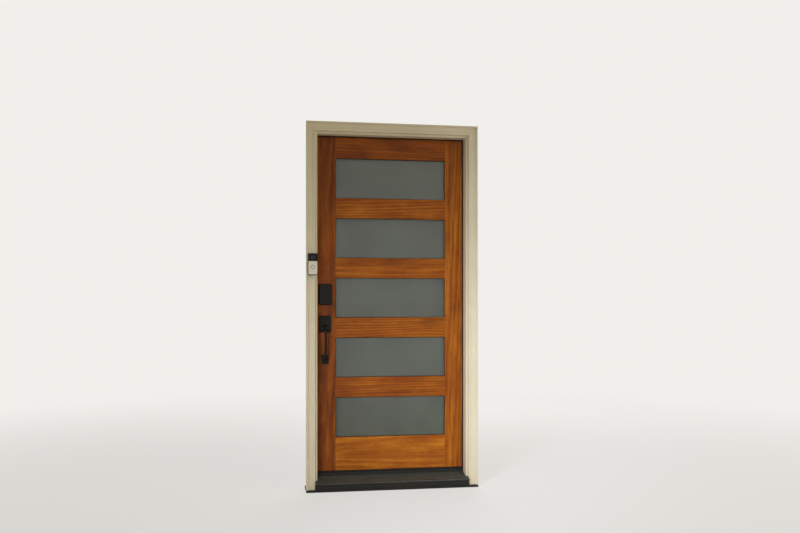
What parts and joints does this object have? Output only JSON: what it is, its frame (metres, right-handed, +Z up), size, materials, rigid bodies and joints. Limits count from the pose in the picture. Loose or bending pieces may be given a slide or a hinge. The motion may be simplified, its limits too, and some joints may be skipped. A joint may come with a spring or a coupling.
{
  "type": "glazed panel front door in its frame",
  "caption": "Stained timber front door with a ladder of frosted lites, hung in a painted frame with casing, sill, seals, hinges, keypad lock and handle set.",
  "frame": {"origin": "middle of the doorway, at the underside of the sill base, in the plane where the casing meets the wall", "axes": "+X to the right seen from outside, towards the hinges; +Y into the house; +Z up"},
  "size_m": [1.0286, 0.2364, 2.1673],
  "materials": {
    "stained_wood": "clear satin varnish over stain",
    "painted_wood": "satin exterior paint",
    "foam_seal": "soft skinned foam",
    "black_composite": "matt moulded composite",
    "bronze_aluminium": "dark anodised extrusion",
    "steel": "zinc plated",
    "black_metal": "satin black powder coat",
    "black_gloss": "polished black panel",
    "satin_plastic": "satin moulding",
    "clear_glass": "clear float glass",
    "satin_glass": "acid etched glass",
    "spacer_aluminium": "mill finish",
    "rubber_block": "moulded rubber",
    "sweep_rubber": "extruded rubber"
  },
  "bodies": {
    "frame": {"strike_jamb": "painted_wood", "lock_block": "painted_wood", "hinge_jamb": "painted_wood", "head_jamb": "painted_wood", "brickmould_left": "painted_wood", "brickmould_right": "painted_wood", "brickmould_head": "painted_wood", "weatherstrips": "foam_seal", "sill_base": "black_composite", "sill_substrate": "black_composite", "sill_deck": "bronze_aluminium", "sill_cap": "black_composite", "sill_cap_screws": "steel", "latch_strike": "black_metal", "deadbolt_strike": "black_metal", "hinge_jamb_leaf_1": "black_metal", "hinge_jamb_leaf_2": "black_metal", "hinge_jamb_leaf_3": "black_metal", "hinge_pins": "black_metal", "jamb_screws": "black_metal", "doorbell_housing": "satin_plastic", "doorbell_lens": "black_gloss", "doorbell_faceplate": "satin_plastic"},
    "leaf": {"lock_stile": "stained_wood", "hinge_stile": "stained_wood", "top_rail": "stained_wood", "cross_rail_1": "stained_wood", "cross_rail_2": "stained_wood", "cross_rail_3": "stained_wood", "cross_rail_4": "stained_wood", "bottom_rail": "stained_wood", "outer_lite_1": "clear_glass", "outer_lite_2": "clear_glass", "outer_lite_3": "clear_glass", "outer_lite_4": "clear_glass", "outer_lite_5": "clear_glass", "inner_lites": "satin_glass", "glass_spacers": "spacer_aluminium", "glazing_beads": "stained_wood", "setting_blocks": "rubber_block", "door_sweep": "sweep_rubber", "hinge_door_leaf_1": "black_metal", "hinge_door_leaf_2": "black_metal", "hinge_door_leaf_3": "black_metal", "hinge_door_screws": "black_metal", "keypad_housing": "black_metal", "keypad_face": "black_gloss", "handle_upper_plate": "black_metal", "handle_grip": "black_metal", "latch_case": "steel", "deadbolt_case": "steel", "knob_rose": "black_metal", "thumbturn_housing": "black_metal", "lock_screws": "black_metal"},
    "knob": {"knob": "black_metal"},
    "latch": {"latch_bolt": "steel"},
    "thumb": {"thumb_piece": "black_metal"},
    "turn": {"thumbturn": "black_metal"},
    "deadbolt": {"deadbolt_bolt": "steel"},
    "bell_button": {"doorbell_button": "satin_plastic"}
  },
  "joints": [
    {"name": "door_swing", "type": "hinge", "parent": "frame", "child": "leaf", "pos_m": [0.4585, 0.1287, 0], "axis": [0, 0, -1], "range_deg": [0, 110]},
    {"name": "knob_turn", "type": "hinge", "parent": "leaf", "child": "knob", "pos_m": [-0.3967, 0.116, 0.985], "axis": [0, 1, 0], "range_deg": [0, 45]},
    {"name": "latch_slide", "type": "slide", "parent": "leaf", "child": "latch", "axis": [-1, 0, 0], "range_m": [0, 0.01271]},
    {"name": "thumb_press", "type": "hinge", "parent": "leaf", "child": "thumb", "pos_m": [-0.3967, 0.067, 0.968], "axis": [-1, 0, 0], "range_deg": [0, 12.01]},
    {"name": "thumbturn_turn", "type": "hinge", "parent": "leaf", "child": "turn", "pos_m": [-0.3967, 0.116, 1.1247], "axis": [0, 1, 0], "range_deg": [0, 90]},
    {"name": "deadbolt_slide", "type": "slide", "parent": "leaf", "child": "deadbolt", "axis": [-1, 0, 0], "range_m": [0, 0.02541]},
    {"name": "doorbell_push", "type": "slide", "parent": "frame", "child": "bell_button", "axis": [0, 1, 0], "range_m": [0, 0.0012], "stiffness_N_per_m": 900}
  ],
  "couplings": [
    {"joint": "latch_slide", "follows": "knob_turn", "m_per_rad": 0.01617},
    {"joint": "thumb_press", "follows": "knob_turn", "ratio": 0.26667},
    {"joint": "deadbolt_slide", "follows": "thumbturn_turn", "m_per_rad": 0.01617}
  ]
}
